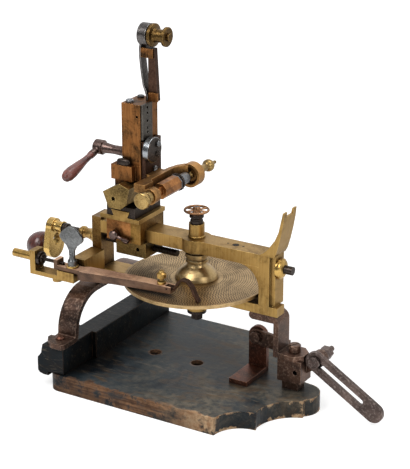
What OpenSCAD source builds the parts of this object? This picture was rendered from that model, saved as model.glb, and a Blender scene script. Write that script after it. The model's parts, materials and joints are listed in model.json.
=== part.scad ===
// Bench wheel cutting engine on a wooden board.
// The origin is on the arbor axis at the underside of the board.
// X runs along the frame towards the board's nose, Y to the back, Z up.

/* [Board] */
// Thickness of the board
board_t = 25; // [20:1:32]
// Half the width of the board
board_half_w = 134; // [131:1:140]
// Distance from the arbor axis to the square end
board_left = 164; // [160:1:170]
// Distance from the arbor axis to the end of the straight front edge
board_front = 107; // [104:1:112]
// Radius of the rounded nose
nose_r = 26.5; // [24:0.5:28]
// Distance from the arbor axis to the centre of the nose
nose_x = 168; // [166:1:172]
// Radius of the bench bolt holes
bench_hole_r = 8.5; // [6:0.25:10]
// Distance between the bench bolt holes
bench_pitch = 70; // [60:1:80]
// Height of the cleat above the board
cleat_h = 40; // [34:1:46]
// Width of the cleat
cleat_w = 33; // [32:1:36]
// Overhang of the cleat's front block past the square end
cleat_over = 18; // [14:1:20]

/* [Legs] */
// Rise of the arched leg from the cleat to the frame
arch_rise = 67; // [64:1:72]
// Half the span of the arched leg, outside
arch_half = 103; // [100:1:106]
// Outer corner radius of the arched leg
arch_r = 56; // [50:1:56]
// Width of the arched leg
arch_w = 30; // [28:0.5:33]
// Thickness of the leg straps
leg_t = 7.5; // [6:0.5:9]
// Half the width of the right leg
leg_half_w = 16; // [14:0.5:18]
// Sideways offset of the right leg from the frame
leg_y = 4; // [2:0.5:6]
// Reach of the right leg from the arbor axis
leg_x = 136; // [134:0.5:138]
// Depth of the right leg's top flange
leg_flange_t = 12; // [10:0.5:14]
// Height of the leg block's top above the board
block_top = 46; // [43:0.5:49]
// Length of the leg block
block_len = 35; // [32:1:38]
// Height of the leg block
block_h = 33; // [28:1:36]
// Height of the foot bracket's riser above the board
riser_h = 67; // [60:1:70]
// Width of the foot bracket
riser_w = 28; // [24:1:30]
// Thickness of the foot bracket
riser_t = 7; // [5:0.5:8]

/* [Stay] */
// Distance between the stay's end centres
stay_len = 104; // [98:1:106]
// Width of the stay
stay_w = 28; // [24:1:30]
// Width of the stay's slot
stay_slot_w = 9; // [8.6:0.2:11]
// Thickness of the stay
stay_t = 6; // [4:0.5:7]
// Slope of the stay below level
stay_slope = 31.5; // [28:0.5:32]
// Radius of the stay's bolt
stay_bolt_r = 4; // [3:0.25:4.2]

/* [Frame] */
// Half the width of the frame bars
bar_half_w = 16; // [14:0.5:18]
// Thickness of the top bar
bar_t = 18; // [16:0.5:20]
// Thickness of the bottom bar
low_bar_t = 13; // [11:0.5:15]
// Height of the window between the bars
window_h = 54.5; // [54:0.5:58]
// Distance from the arbor axis to the left post
left_post_in = 149; // [147:0.5:151]
// Thickness of the left post
left_post_t = 15; // [12:0.5:16]
// Height of the left post above the top bar
left_post_rise = 4; // [2:0.5:6]
// Distance from the arbor axis to the right post
right_post_in = 107; // [106:0.5:109]
// Thickness of the right post
right_post_t = 16; // [14:0.5:18]
// Radius of the curved corner under the top bar
gusset_r = 32; // [26:1:34]
// Radius of the arbor boss
boss_r = 21; // [19:0.5:23]
// Height of the horn above the top bar
horn_h = 66; // [60:1:70]
// Thickness of the horn
horn_t = 5; // [4:0.5:6]
// Radius of the horn's dome washer
dome_r = 15; // [12:0.5:16]
// Radius of the horn's bolt
horn_bolt_r = 5.5; // [4:0.25:6.5]

/* [Arbor] */
// Radius of the dividing plate
plate_r = 102; // [98:0.5:104]
// Thickness of the dividing plate
plate_t = 4.7; // [3.5:0.1:6]
// Gap under the dividing plate
plate_gap = 7.3; // [5:0.1:9]
// Radius of the spindle
spindle_r = 7; // [6:0.25:8]
// Radius of the pedestal's base
pedestal_r = 30; // [27:0.5:31]
// Height of the upper bush
bush_h = 20; // [16:0.5:22]
// Radius of the upper bush
bush_r = 11; // [10:0.25:13]
// Radius of the hand wheel's rim line
wheel_r = 16.3; // [14:0.1:17]
// Radius of the hand wheel's rim section
wheel_rim_r = 1.7; // [1.2:0.1:2.2]

/* [Carriage] */
// Length of the saddle along the bar
saddle_len = 56; // [52:1:60]
// Distance from the arbor axis to the saddle's near end
saddle_in = 73; // [72:0.5:76]
// Thickness of the saddle's cheeks
saddle_cheek = 13.7; // [11:0.1:15]
// Thickness of the saddle's roof
saddle_roof = 13; // [11:0.5:15]
// Radius of the leadscrew
lead_r = 5; // [4:0.25:6]
// Drop of the leadscrew under the top bar
lead_drop = 13.5; // [12.5:0.25:15]
// Throw of the leadscrew's crank
crank_throw = 36; // [34:0.5:38]
// Radius of the crank's knob
knob_r = 21; // [18:0.5:22]
// Height of the cross slide's dovetail
dovetail_h = 9; // [7:0.5:10]
// Length of the cross block
cross_len = 85; // [78:1:90]

/* [Tower] */
// Width of the tower along the frame
tower_w = 30; // [29:0.5:32]
// Half the depth of the tower
tower_half_d = 22; // [21:0.5:24]
// Height of the tower above its foot
tower_h = 87; // [84:1:92]
// Distance from the arbor axis to the tower's slide face
tower_in = 76; // [75.5:0.25:77]
// Thickness of the cutter slide's plate
slide_t = 6; // [5:0.25:7]
// Travel of the cutter slide
slide_travel = 40; // [30:1:42]
// Number of teeth on the feed pinion
pinion_teeth = 11; // [10:1:12]
// Module of the feed pinion
pinion_mod = 2; // [1.8:0.1:2.1]
// Length of the feed lever, boss to tip
lever_len = 90; // [80:1:91]
// Height of the idler spool above the tower
idler_rise = 91; // [88:1:98]
// Radius of the idler spool
idler_r = 16; // [14:0.5:17]

/* [Cutter] */
// Distance from the arbor axis to the cutter's axis
cutter_in = 32; // [31:0.25:34]
// Radius of the cutter
cutter_r = 12.5; // [10:0.25:12.5]
// Thickness of the cutter
cutter_t = 4; // [2:0.25:5]
// Number of teeth on the cutter
cutter_teeth = 24; // [18:1:30]
// Radius of the cutter arbor's bush
cutter_bush_r = 11.5; // [10:0.25:12]
// Radius of the front thumb knob
thumb_r = 11.5; // [10:0.5:12.5]
// Radius of the rear cheek's ring
cheek_r = 17; // [15:0.5:18]
// Radius of the rear ball
ball_r = 9; // [7:0.5:10]

/* [Index] */
// Distance of the index arm in front of the arbor axis
index_y = 75; // [73:0.5:77]
// Width of the index arm
index_w = 16; // [12:0.5:18]
// Travel of the index arm each way
index_travel = 5; // [3:0.5:6]
// Radius of the micrometer screw's rod
micro_r = 4.5; // [4:0.25:5.5]
// Width of the wing screw's fan
fan_w = 39; // [34:1:42]

/* [Fits] */
// Radial clearance of a turning fit
run_gap = 0.05; // [0.03:0.01:0.1]
// Clearance between sliding faces
slide_gap = 0.35; // [0.3:0.05:0.5]

/* [Hidden] */
$fn = 48;

// Finishes
paint = "#2c3438";
iron = "#4a3a34";
old_brass = "#a88f52";
bright_brass = "#c9a94f";
copper = "#b0783f";
steel = "#8d9296";
dark_steel = "#2a2826";
wood = "#5a2d20";

// Heights
cleat_top = board_t + cleat_h;
low_bar_z = cleat_top + arch_rise;
low_bar_top = low_bar_z + low_bar_t;
plate_z = low_bar_top + plate_gap;
plate_top = plate_z + plate_t;
bar_z = low_bar_top + window_h;
bar_top = bar_z + bar_t;
lead_z = bar_z - lead_drop;
bush_top = bar_top + bush_h;
saddle_top = bar_top + slide_gap + saddle_roof;
saddle_plate_t = 6;
rail_z = saddle_top + saddle_plate_t;
rail_top = rail_z + dovetail_h;
cross_z = rail_top + slide_gap + 6;
foot_top = cross_z + 59;
tower_top = foot_top + tower_h;
lever_z = foot_top + 9;
cutter_z = foot_top - 21;
idler_z = tower_top + idler_rise;

// Places along the frame
left_post_out = -left_post_in - left_post_t;
right_post_out = right_post_in + right_post_t;
saddle_x1 = -saddle_in;
saddle_x0 = saddle_x1 - saddle_len;
tower_x1 = -tower_in;
tower_x0 = tower_x1 - tower_w;
rail_x = tower_x0 + 3;
cutter_x = -cutter_in;
slide_x0 = tower_x1 + slide_gap;
slide_x1 = slide_x0 + slide_t;

// Shape tools
function unit2(v) = v / norm(v);
function normal_at(p, i) =
    let (d = unit2(p[min(i + 1, len(p) - 1)] - p[max(i - 1, 0)])) [-d[1], d[0]];
function ribbon(p, t) = concat(
    [for (i = [0 : len(p) - 1]) p[i] + normal_at(p, i) * t / 2],
    [for (i = [len(p) - 1 : -1 : 0]) p[i] - normal_at(p, i) * t / 2]);
function arc(c, r, a0, a1, n = 10) =
    [for (i = [0 : n]) c + r * [cos(a0 + (a1 - a0) * i / n), sin(a0 + (a1 - a0) * i / n)]];
// Arc from a to b that bows to the left of its chord by sag
function bow(a, b, sag, n = 10) =
    let (d = (b - a) / 2, h = norm(d), r = (h * h + sag * sag) / (2 * sag), u = [-d[1], d[0]] / h,
         c = (a + b) / 2 + u * (sag - r), f = asin(h / r))
    [for (i = [0 : n]) c + r * (cos(f * (2 * i / n - 1)) * u + sin(f * (2 * i / n - 1)) * d / h)];
function flip(p) = [for (i = [len(p) - 1 : -1 : 0]) [-p[i][0], p[i][1]]];

// Extrudes an X-Z outline from y0 to y1
module along_y(y0, y1) {
    translate([0, y1, 0]) rotate([90, 0, 0]) linear_extrude(y1 - y0) children();
}
// Extrudes a Y-Z outline from x0 to x1
module along_x(x0, x1) {
    translate([x0, 0, 0]) rotate([90, 0, 90]) linear_extrude(x1 - x0) children();
}
module rod_x(x0, x1, y, z, r) {
    translate([x0, y, z]) rotate([0, 90, 0]) cylinder(h = x1 - x0, r = r);
}
module rod_y(y0, y1, x, z, r) {
    translate([x, y0, z]) rotate([-90, 0, 0]) cylinder(h = y1 - y0, r = r);
}
module rod_z(z0, z1, x, y, r) {
    translate([x, y, z0]) cylinder(h = z1 - z0, r = r);
}
// Turns a profile of [radius, height] points about Z, with a bore
module turned(points, bore = 0) {
    h0 = points[0][1];
    h1 = points[len(points) - 1][1];
    rotate_extrude() polygon(concat([[bore, h0]], points, [[bore, h1]]));
}
module turned_x(points, bore = 0) {
    rotate([0, 90, 0]) turned(points, bore);
}
module turned_y(points, bore = 0) {
    rotate([-90, 0, 0]) turned(points, bore);
}
module slab(low, high) {
    translate(low) cube(high - low);
}

// Board outline: square end with a worn corner, straight front, scalloped nose end
worn_r = 18;
board_outline = concat(
    arc([worn_r - board_left, worn_r - board_half_w], worn_r, 180, 270),
    bow([board_front, -board_half_w], [board_front + 41, 41 - board_half_w], 12),
    bow([board_front + 38.5, 49 - board_half_w], [nose_x + 16.65, -29.1], 10.8),
    arc([nose_x, -3], nose_r, -52, 90),
    bow([nose_x - 17.4, 26.2], [nose_x - 58, board_half_w - 54], 11.3),
    bow([board_front + 5, board_half_w - 44], [board_front - 39, board_half_w], 12.9),
    [[-board_left, board_half_w]]);

module base_board() {
    color(paint) difference() {
        linear_extrude(board_t) polygon(board_outline);
        for (x = [0, -bench_pitch]) rod_z(-1, board_t + 1, x, 0, bench_hole_r);
    }
}

// The cleat's front block is moulded on its left side and hangs over the board's end
cleat_x1 = -board_left + cleat_w;
block_x0 = -board_left - cleat_over;
block_right = cleat_x1 - 7;
block_front = 3 - board_half_w;
moulding = [
    [block_right, board_t], [block_right, cleat_top], [block_x0 + 9, cleat_top],
    [block_x0 + 7.5, cleat_top - 7], [block_x0 + 6.5, cleat_top - 13],
    [block_x0 + 3.5, cleat_top - 17.5], [block_x0 + 0.5, cleat_top - 20.5],
    [block_x0, board_t + 15], [block_x0, board_t - 1], [block_x0 + 3, board_t - 4.5],
    [block_x0 + 9, board_t - 6], [-board_left - 0.5, board_t - 6], [-board_left - 0.5, board_t]];
module end_cleat() {
    color(paint) union() {
        slab([-board_left, -60, board_t], [cleat_x1, board_half_w, cleat_top]);
        along_y(block_front, -50) polygon(moulding);
    }
}

// Arched leg: a strap bent into an arch with turned-out, spread feet
arch_x1 = cleat_x1 - 4.5;
arch_x0 = arch_x1 - arch_w;
arch_c = [arch_half - arch_r, low_bar_z - arch_r];
foot_z = cleat_top + leg_t / 2;
foot_len = 10;
foot_end = arch_half + 32;
foot_bend = 6;
arch_line = concat(
    [[arch_half + foot_len, foot_z]],
    arc([arch_half - leg_t / 2 + foot_bend, foot_z + foot_bend], foot_bend, 270, 180, 4),
    arc(arch_c, arch_r - leg_t / 2, 0, 90));
leg_screw_y = arch_half + 13;
leg_screw_x = arch_x0 + 13;
leg_screw_r = 2.5;
spread_foot = [
    [arch_x1, arch_half + 8], [arch_x1, foot_end - 5], [arch_x1 - 3, foot_end], [arch_x1 - 20, foot_end],
    [arch_x0, foot_end - 7], [arch_x0 - 6, foot_end - 16], [arch_x0 - 6, arch_half + 9],
    [arch_x0, arch_half + 8]];
module arch_leg() {
    color(iron) difference() {
        union() {
            along_x(arch_x0, arch_x1) polygon(ribbon(concat(arch_line, flip(arch_line)), leg_t));
            for (s = [0, 1]) mirror([0, s, 0]) translate([0, 0, cleat_top])
                linear_extrude(leg_t) polygon(spread_foot);
        }
        for (s = [-1, 1])
            rod_z(cleat_top - 1, cleat_top + leg_t + 1, leg_screw_x, s * leg_screw_y, leg_screw_r + run_gap);
    }
}

module screw(head_r, head_h, r, length) {
    difference() {
        turned([[r, -length], [r, 0], [head_r, 0], [head_r, head_h * 0.4], [head_r * 0.6, head_h]]);
        slab([-head_r - 1, -0.8, head_h * 0.55], [head_r + 1, 0.8, head_h + 1]);
    }
}
module leg_screws() {
    color(iron) for (s = [-1, 1])
        translate([leg_screw_x, s * leg_screw_y, cleat_top + leg_t]) screw(6.5, 4, leg_screw_r, leg_t);
}

// Right leg: flange under the frame, upright, foot over the leg block
leg_y0 = leg_y - leg_half_w;
leg_y1 = leg_y + leg_half_w;
foot_top_z = board_t + block_top + leg_t;
leg_up_x = leg_x - leg_t;
block_x1 = leg_x + block_len;
block_screw_x = leg_x + block_len / 2;
block_screw_r = 4;
module right_leg() {
    bend = 12;
    pad = leg_half_w + 2;
    flat = pad * tan(22.5);
    root = leg_x - 1 - block_screw_x;
    color(iron) difference() {
        union() {
            along_y(leg_y0, leg_y1) polygon(concat(
                [[leg_x, foot_top_z - leg_t], [leg_up_x, foot_top_z - leg_t],
                 [leg_up_x, low_bar_z - leg_flange_t], [95, low_bar_z - leg_flange_t]],
                arc([96, low_bar_z - leg_flange_t / 2], leg_flange_t / 2, 250, 90, 6),
                arc([leg_x - bend, low_bar_z - bend], bend, 90, 0, 6)));
            translate([block_screw_x, leg_y, foot_top_z - leg_t]) linear_extrude(leg_t) polygon([
                [root, -leg_half_w], [-flat - 2, -leg_half_w], [-flat, -pad], [flat, -pad], [pad, -flat],
                [pad, flat], [flat, pad], [-flat, pad], [-flat - 2, leg_half_w], [root, leg_half_w]]);
        }
        rod_z(board_t, foot_top_z + 1, block_screw_x, leg_y, block_screw_r + run_gap);
    }
}

// Leg block, standing on a narrower packing, with an ear for the stay's bolt
pack_h = block_top - block_h;
ear_x = block_x1 + 16;
ear_z = board_t + block_top + 2;
ear_r = 11;
stay_y1 = leg_y + 1;
stay_y0 = stay_y1 - stay_t;
ear_y0 = stay_y1 + slide_gap;
module leg_block() {
    color(iron) difference() {
        union() {
            slab([leg_x - 1, leg_y0 + 1, board_t + pack_h], [block_x1, leg_y1 - 1, board_t + block_top]);
            slab([leg_x + 4, leg_y0 + 6, board_t], [leg_x + 28, leg_y1 - 6, board_t + pack_h]);
            along_y(ear_y0, leg_y1 - 1) polygon(concat(
                [[block_x1 - 8, board_t + pack_h + 6]],
                arc([ear_x, ear_z], ear_r, -70, 140, 12),
                [[block_x1 + 1, board_t + block_top], [block_x1 - 8, board_t + block_top]]));
        }
        rod_y(ear_y0 - 1, leg_y1, ear_x, ear_z, stay_bolt_r + run_gap);
        rod_z(board_t + 20, board_t + block_top + 1, block_screw_x, leg_y, block_screw_r + run_gap);
        rod_y(leg_y0, leg_y0 + 9, leg_x + 26, board_t + pack_h + 16, 3.5);
    }
}
module block_screw() {
    head_r = 8.5;
    head_h = 11;
    color(iron) translate([block_screw_x, leg_y, foot_top_z]) rotate(60) difference() {
        turned([[block_screw_r, -leg_t - 22], [block_screw_r, 0], [head_r, 0], [head_r, head_h - 1],
                [head_r - 1, head_h]]);
        slab([-head_r - 1, -1.25, head_h - 4], [head_r + 1, 1.25, head_h + 1]);
    }
}

// Foot bracket: an angle whose riser carries the brace
riser_x0 = 70;
riser_y1 = 32;
foot_front = 62;
module foot_bracket() {
    riser_y0 = riser_y1 - riser_t;
    top = board_t + riser_h;
    color(iron) difference() {
        union() {
            slab([riser_x0, riser_y1 - foot_front, board_t],
                 [riser_x0 + riser_w, riser_y1, board_t + riser_t]);
            along_y(riser_y0, riser_y1) polygon(concat(
                [[riser_x0, board_t], [riser_x0 + riser_w, board_t]],
                arc([riser_x0 + riser_w / 2, top - riser_w / 2], riser_w / 2, 0, 180)));
        }
        rod_y(riser_y0 - 1, riser_y1 + 1, brace_x, brace_z, brace_bolt_r + run_gap);
    }
}
// Brace: a flat bar from the riser's bolt to the back edge of the leg
brace_x = riser_x0 + riser_w / 2;
brace_z = board_t + riser_h - riser_w / 2;
brace_bolt_r = 4;
brace_y1 = riser_y1 - riser_t;
brace_t = brace_y1 - leg_y1;
module leg_brace() {
    half = 8;
    color(iron) union() {
        along_y(leg_y1, brace_y1) polygon(concat(
            arc([brace_x, brace_z], half + 3, 90, 270),
            [[leg_x, brace_z - half - 8], [leg_x, brace_z + half - 3]]));
        rod_y(brace_y1 - brace_t, riser_y1 + 4, brace_x, brace_z, brace_bolt_r);
        rod_y(brace_y1 - brace_t - 6, brace_y1 - brace_t, brace_x, brace_z, 8);
        rod_y(riser_y1, riser_y1 + 6, brace_x, brace_z, 7.5);
    }
}

// Slotted stay, hung on the bolt through the upper end of its slot
module stay() {
    r = stay_w / 2;
    color(iron) translate([ear_x, 0, ear_z]) rotate([0, stay_slope, 0]) difference() {
        union() {
            slab([0, stay_y0, -r], [stay_len, stay_y1, r]);
            for (x = [0, stay_len]) rod_y(stay_y0, stay_y1, x, 0, r);
        }
        rod_y(stay_y0 - 1, stay_y1 + 1, 0, 0, stay_slot_w / 2);
        rod_y(stay_y0 - 1, stay_y1 + 1, stay_len - 23, 0, stay_slot_w / 2);
        slab([0, stay_y0 - 1, -stay_slot_w / 2], [stay_len - 23, stay_y1 + 1, stay_slot_w / 2]);
    }
}
module stay_bolt() {
    color(iron) union() {
        rod_y(stay_y0 - slide_gap, 50, ear_x, ear_z, stay_bolt_r);
        rod_y(stay_y0 - slide_gap - 4, stay_y0 - slide_gap, ear_x, ear_z, 8);
        rod_y(leg_y1 - 1, leg_y1 + 8, ear_x, ear_z, 9);
        translate([ear_x, leg_y1 + 8, ear_z]) rotate([-90, 0, 0]) cylinder(h = 9, r = 10, $fn = 6);
    }
}

module left_post() {
    color(old_brass) difference() {
        slab([left_post_out, -bar_half_w, low_bar_z], [-left_post_in, bar_half_w, bar_top + left_post_rise]);
        rod_x(left_post_out - 1, -left_post_in + 1, 0, lead_z, lead_r + run_gap);
    }
}

// Top bar with its arbor boss, an oil hole and two dowel holes
oil_x = 62;
module top_bar() {
    color(old_brass) difference() {
        union() {
            slab([-left_post_in, -bar_half_w, bar_z], [right_post_in, bar_half_w, bar_top]);
            rod_z(bar_z, bar_top, 0, 0, boss_r);
        }
        rod_z(bar_z - 1, bar_top + 1, 0, 0, spindle_r + run_gap);
        translate([oil_x, 0, bar_top - 3]) cylinder(h = 3.01, r1 = 2, r2 = 5);
        rod_z(bar_top - 8, bar_top, oil_x, 0, 2);
        for (s = [-1, 1]) rod_z(bar_top - 5, bar_top + 1, oil_x + 12 * s, 0, 1.5);
    }
}

// Right post with its curved corner and the strap behind the horn's bolt
strap_t = 7;
strap_half_w = 12;
foot_block = 13;
bolt_z = bar_top - 20;
module right_post() {
    color(old_brass) difference() {
        union() {
            along_y(-bar_half_w, bar_half_w) polygon(concat(
                [[right_post_out, low_bar_z], [right_post_out, bar_top], [right_post_in, bar_top],
                 [right_post_in, bar_z]],
                arc([right_post_in - gusset_r, bar_z - gusset_r], gusset_r, 90, 0),
                [[right_post_in, low_bar_z]]));
            slab([right_post_out, -strap_half_w, low_bar_z + foot_block],
                 [right_post_out + strap_t, strap_half_w, bar_top]);
            slab([right_post_out, -bar_half_w, low_bar_z],
                 [right_post_out + foot_block, 4, low_bar_z + foot_block]);
        }
        rod_x(right_post_in + 3, right_post_out + strap_t + 1, 0, bolt_z, horn_bolt_r + run_gap);
    }
}

module bottom_bar() {
    color(old_brass) difference() {
        union() {
            slab([-left_post_in, -bar_half_w, low_bar_z], [right_post_in, bar_half_w, low_bar_top]);
            rod_z(low_bar_z - 22, low_bar_top, 0, 0, 15);
        }
        rod_z(low_bar_z - 23, low_bar_top + 1, 0, 0, pivot_r + run_gap);
    }
}

// Horn: a tapering brass plate swept up from the frame's corner, notched at the top
horn_half_w = 17;
module horn() {
    x0 = right_post_in;
    x1 = right_post_out + strap_t;
    top = bar_top + horn_h;
    color(old_brass) difference() {
        along_y(-horn_half_w, horn_half_w) polygon([
            [x0, bar_top], [x1, bar_top], [x1 + 3, bar_top + 6], [x1 + 7, bar_top + 20],
            [x1 + 11, bar_top + 38], [x1 + 13.5, bar_top + 52], [x1 + 15, top],
            [x1 + 15 - horn_t / 2, top], [x1 + 13 - 0.7 * horn_t, bar_top + 52],
            [x1 + 11.5 - horn_t, bar_top + 38], [x1 + 6.5 - horn_t, bar_top + 26],
            [x1 - 0.5 - horn_t, bar_top + 16], [x1 - 6 - horn_t, bar_top + 9],
            [x1 - 13 - horn_t, bar_top + 3]]);
        slab([x1, -9, top - 7], [x1 + 16, 9, top + 1]);
    }
}
module dome_washer() {
    x = right_post_out + strap_t;
    color(bright_brass) translate([x, 0, bolt_z])
        turned_x(concat(
            [[dome_r, 0], [dome_r, 1.5]],
            [for (a = [20 : 14 : 62]) [dome_r * cos(a), 1.5 + 8 * sin(a)]]), horn_bolt_r + run_gap);
}
module horn_bolt() {
    x = right_post_out + strap_t + 8.6;
    color(dark_steel) union() {
        rod_x(right_post_in + 3, x, 0, bolt_z, horn_bolt_r);
        rod_x(x, x + 12, 0, bolt_z, horn_bolt_r + 0.4);
    }
}

module arbor_bush() {
    color(old_brass) translate([0, 0, bar_top])
        turned([[bush_r + 1, 0], [bush_r + 1, 2], [bush_r, 3], [bush_r, bush_h]], spindle_r + run_gap);
}
// Lower pivot screw with its washer and nut
pivot_r = 5;
spindle_z = low_bar_top + 3;
module pivot_screw() {
    color(dark_steel) union() {
        rod_z(low_bar_z - 38, spindle_z - slide_gap, 0, 0, pivot_r);
        rod_z(low_bar_z - 27, low_bar_z - 22, 0, 0, 13.5);
        translate([0, 0, low_bar_z - 36]) cylinder(h = 9, r = 9, $fn = 6);
    }
}

module dividing_plate() {
    color(old_brass) difference() {
        rod_z(plate_z, plate_top, 0, 0, plate_r);
        rod_z(plate_z - 1, plate_top + 1, 0, 0, spindle_r + run_gap);
    }
}
// Pedestal: flared foot, ringed neck
pedestal_h = bar_z - slide_gap - plate_top;
module pedestal() {
    neck = 13;
    color(old_brass) translate([0, 0, plate_top]) turned([
        [pedestal_r, 0], [pedestal_r, 2.5], [pedestal_r - 1.2, 6], [pedestal_r - 3.5, 9.5],
        [pedestal_r - 7, 13], [pedestal_r - 10.5, 16], [neck + 2, 19], [neck + 0.5, 22], [neck, 24],
        [neck + 2.5, 25], [neck + 2.5, 28], [neck + 0.5, 29], [neck + 0.5, 31], [neck + 3, 32],
        [neck + 3, 37], [neck, 38], [neck, pedestal_h]],
        spindle_r + run_gap);
}
nut_h = 13;
stud_r = 3;
wheel_z = bush_top + slide_gap + nut_h + slide_gap + 5;
module spindle() {
    color(steel) translate([0, 0, spindle_z]) turned([
        [spindle_r, 0], [spindle_r, bush_top + slide_gap + nut_h - spindle_z],
        [stud_r, bush_top + slide_gap + nut_h - spindle_z], [stud_r, wheel_z + 5 - spindle_z]]);
}
module clamp_nut() {
    color(dark_steel) translate([0, 0, bush_top + slide_gap])
        turned([[9, 0], [9, 4], [8, 5], [8, 7], [10, 8.5], [10, 11], [8.5, nut_h]], spindle_r + run_gap);
}
module hand_wheel() {
    color(copper) translate([0, 0, wheel_z]) difference() {
        union() {
            rotate_extrude() translate([wheel_r, 0]) circle(wheel_rim_r);
            turned([[4.5, -5], [5.5, -3], [5.5, 2], [4.5, 5]]);
            for (a = [0, 60, 120]) rotate(a) rod_x(-wheel_r, wheel_r, 0, 0, 1.3);
        }
        rod_z(-6, 6, 0, 0, stud_r + run_gap);
    }
}

// Saddle: a block that straddles the top bar, closed underneath by the keeper
saddle_half = bar_half_w + slide_gap + saddle_cheek;
module saddle() {
    color(copper) difference() {
        slab([saddle_x0, -saddle_half, bar_z - slide_gap], [saddle_x1, saddle_half, saddle_top]);
        slab([saddle_x0 - 1, -bar_half_w - slide_gap, bar_z - 1],
             [saddle_x1 + 1, bar_half_w + slide_gap, bar_top + slide_gap]);
        rod_y(-saddle_half - 1, -bar_half_w, clamp_x, clamp_z, clamp_r + run_gap);
    }
}
// Top plate of the saddle with the dovetail of the cross slide
dove_half = 11;
dove_flare = 4;
cross_y0 = -45;
function dovetail(gap) = [
    [rail_x - dove_half - gap, rail_z - gap], [rail_x + dove_half + gap, rail_z - gap],
    [rail_x + dove_half + dove_flare + gap, rail_top + gap],
    [rail_x - dove_half - dove_flare - gap, rail_top + gap]];
module saddle_plate() {
    color(old_brass) union() {
        slab([saddle_x0 - 8, -saddle_half - 4, saddle_top], [saddle_x1, saddle_half + 4, rail_z]);
        along_y(-saddle_half - 4, saddle_half + 4) polygon(dovetail(0));
    }
}
// Keeper under the bar, which is also the leadscrew's nut
module keeper() {
    color(copper) difference() {
        slab([saddle_x0 + 10, -bar_half_w - 6, lead_z - 9],
             [saddle_x1 + 3, bar_half_w + 6, bar_z - slide_gap]);
        rod_x(saddle_x0, saddle_x1 + 4, 0, lead_z, lead_r + run_gap);
        rod_y(-bar_half_w - 7, -bar_half_w + 4, saddle_x1 - 10, lead_z + 2, 2.8);
    }
}
// Lever screw that locks the saddle to the bar
clamp_x = saddle_x0 + 16;
clamp_z = bar_z + 9;
clamp_r = 4;
module clamp_lever() {
    y = -saddle_half - slide_gap;
    color(dark_steel) union() {
        rod_y(y, -bar_half_w - slide_gap - 0.3, clamp_x, clamp_z, clamp_r);
        translate([clamp_x, y - 10, clamp_z]) turned_y([[5, 0], [7, 2], [7, 7], [5.5, 10]]);
        translate([clamp_x, y - 5, clamp_z]) rotate([0, 105, 0])
            turned([[3, 0], [2.4, 12], [4.2, 20], [3, 24]]);
    }
}

screw_end = 31;
crank_x = left_post_out - 75;
barrel_len = 14;
module leadscrew() {
    color(dark_steel) union() {
        rod_x(crank_x, -screw_end, 0, lead_z, lead_r);
        rod_x(crank_x + barrel_len + 0.4, crank_x + barrel_len + 8, 0, lead_z, lead_r + 2.5);
    }
}
module screw_trumpet() {
    color(bright_brass) translate([left_post_out, 0, lead_z]) mirror([1, 0, 0])
        turned_x([[14, 0], [13, 3], [9.5, 9], [7.5, 16], [7, 23], [9, 24], [9, 28], [7, 31]],
                 lead_r + run_gap);
}
// Crank: short barrel and a broad oval loop that carries the knob's pin
pin_r = 3;
loop_t = 10;
loop_half = 19;
knob_z = lead_z - crank_throw;
knob_len = 40;
module crank_arm() {
    slot_z1 = lead_z - 17;
    slot_z0 = knob_z + 14;
    color(bright_brass) difference() {
        union() {
            translate([crank_x, 0, lead_z])
                turned_x([[9, 0], [9, 2], [8, 3], [8, barrel_len - 3], [9, barrel_len - 2], [9, barrel_len]]);
            along_x(crank_x - loop_t, crank_x) polygon(concat(
                arc([0, lead_z - 1], 12.5, 0, 180), arc([0, knob_z + 6], loop_half, 180, 360, 16)));
            rod_x(crank_x - loop_t - 22, crank_x - loop_t, 0, knob_z, pin_r);
        }
        rod_x(crank_x, crank_x + barrel_len + 1, 0, lead_z, lead_r + run_gap);
        along_x(crank_x - loop_t - 1, crank_x + 1)
            polygon(concat(arc([0, slot_z1], 6.5, 0, 180), arc([0, slot_z0], 7.5, 180, 360)));
    }
}
module crank_knob() {
    color(wood) translate([crank_x - loop_t - slide_gap, 0, knob_z]) mirror([1, 0, 0])
        turned_x(concat([[6, 0], [6.5, 5], [knob_r - 4, 9], [knob_r - 1, 12]],
                        [for (a = [0 : 13 : 78]) [knob_r * cos(a), 16 + (knob_len - 16) * sin(a)]]),
                 pin_r + run_gap);
}

// Cross slide: dovetailed base, faceted block, tower
cross_x0 = rail_x - 23;
cross_x1 = rail_x + 23;
cross_y1 = cross_y0 + cross_len;
module cross_base() {
    color(dark_steel) difference() {
        slab([cross_x0, -saddle_half - 3, rail_z + slide_gap], [cross_x1, saddle_half + 3, cross_z]);
        along_y(-saddle_half - 8, saddle_half + 8) polygon(dovetail(slide_gap));
    }
}
cross_outline = [
    [rail_x - 12, cross_z], [rail_x + 7, cross_z], [rail_x + 17, cross_z + 8], [rail_x + 22, cross_z + 32],
    [rail_x + 6, cross_z + 37.5], [rail_x - 21, cross_z + 22]];
module cross_block() {
    color(old_brass) difference() {
        along_y(cross_y0, cross_y1) polygon(cross_outline);
        rod_y(cross_y0 - 1, cross_y0 + 12, rail_x - 4, cross_z + 14, 3);
    }
}
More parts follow.
